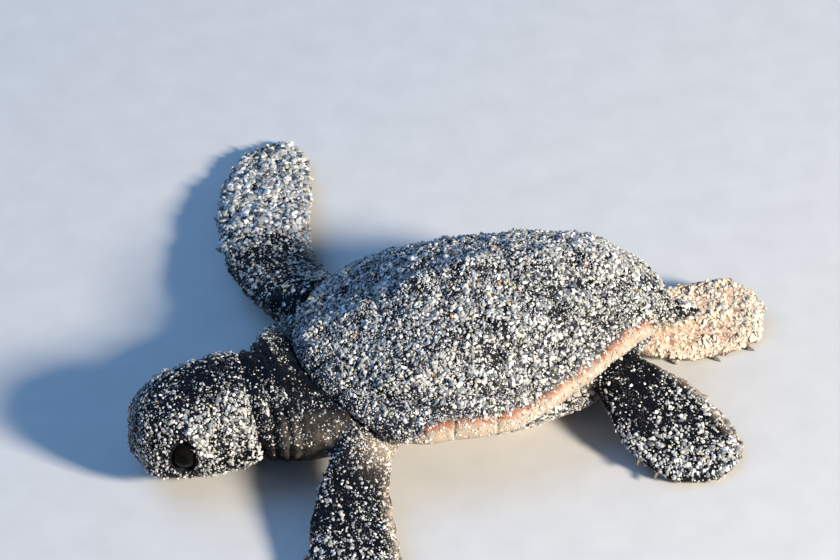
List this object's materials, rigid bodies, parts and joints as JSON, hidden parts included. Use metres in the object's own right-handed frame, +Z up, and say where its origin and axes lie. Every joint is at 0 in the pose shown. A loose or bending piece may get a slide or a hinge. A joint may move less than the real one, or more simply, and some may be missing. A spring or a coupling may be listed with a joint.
{
  "type": "sea turtle hatchling",
  "caption": "Still model of a crawling loggerhead turtle hatchling crusted with sand, flippers spread, resting on its belly.",
  "frame": {"origin": "middle of the footprint's bounding box, on the ground", "axes": "+Z up; the head faces -Y; the animal's left side is +X; rests on the plane z = 0"},
  "size_m": [0.104, 0.0774, 0.0186],
  "materials": {
    "skin": "fine pebbled dark hide, satin",
    "scute": "dark horny plate, dull",
    "rim": "orange-brown horny edge, dull",
    "plastron": "cream and brown horny plate, dull",
    "eye": "wet and glossy",
    "claw": "horn, slightly shiny"
  },
  "bodies": {
    "root": {"carapace_costal_left_1": "scute", "carapace_costal_left_2": "scute", "carapace_costal_left_3": "scute", "carapace_costal_left_4": "scute", "carapace_costal_left_5": "scute", "carapace_costal_right_1": "scute", "carapace_costal_right_2": "scute", "carapace_costal_right_3": "scute", "carapace_costal_right_4": "scute", "carapace_costal_right_5": "scute", "carapace_marginals_left": "rim", "carapace_marginals_right": "rim", "carapace_nuchal": "scute", "carapace_vertebral_1": "scute", "carapace_vertebral_2": "scute", "carapace_vertebral_3": "scute", "carapace_vertebral_4": "scute", "carapace_vertebral_5": "scute", "eye_left": "eye", "eye_right": "eye", "front_flipper_left_arm": "skin", "front_flipper_left_blade": "skin", "front_flipper_left_claw_1": "claw", "front_flipper_left_claw_2": "claw", "front_flipper_right_arm": "skin", "front_flipper_right_blade": "skin", "front_flipper_right_claw_1": "claw", "front_flipper_right_claw_2": "claw", "head": "skin", "hind_flipper_left_claw_1": "claw", "hind_flipper_left_claw_2": "claw", "hind_flipper_left_foot": "skin", "hind_flipper_left_shank": "skin", "hind_flipper_right_claw_1": "claw", "hind_flipper_right_claw_2": "claw", "hind_flipper_right_foot": "skin", "hind_flipper_right_shank": "skin", "lower_jaw": "skin", "neck": "skin", "plastron": "plastron", "tail": "skin", "trunk": "skin"}
  },
  "joints": []
}
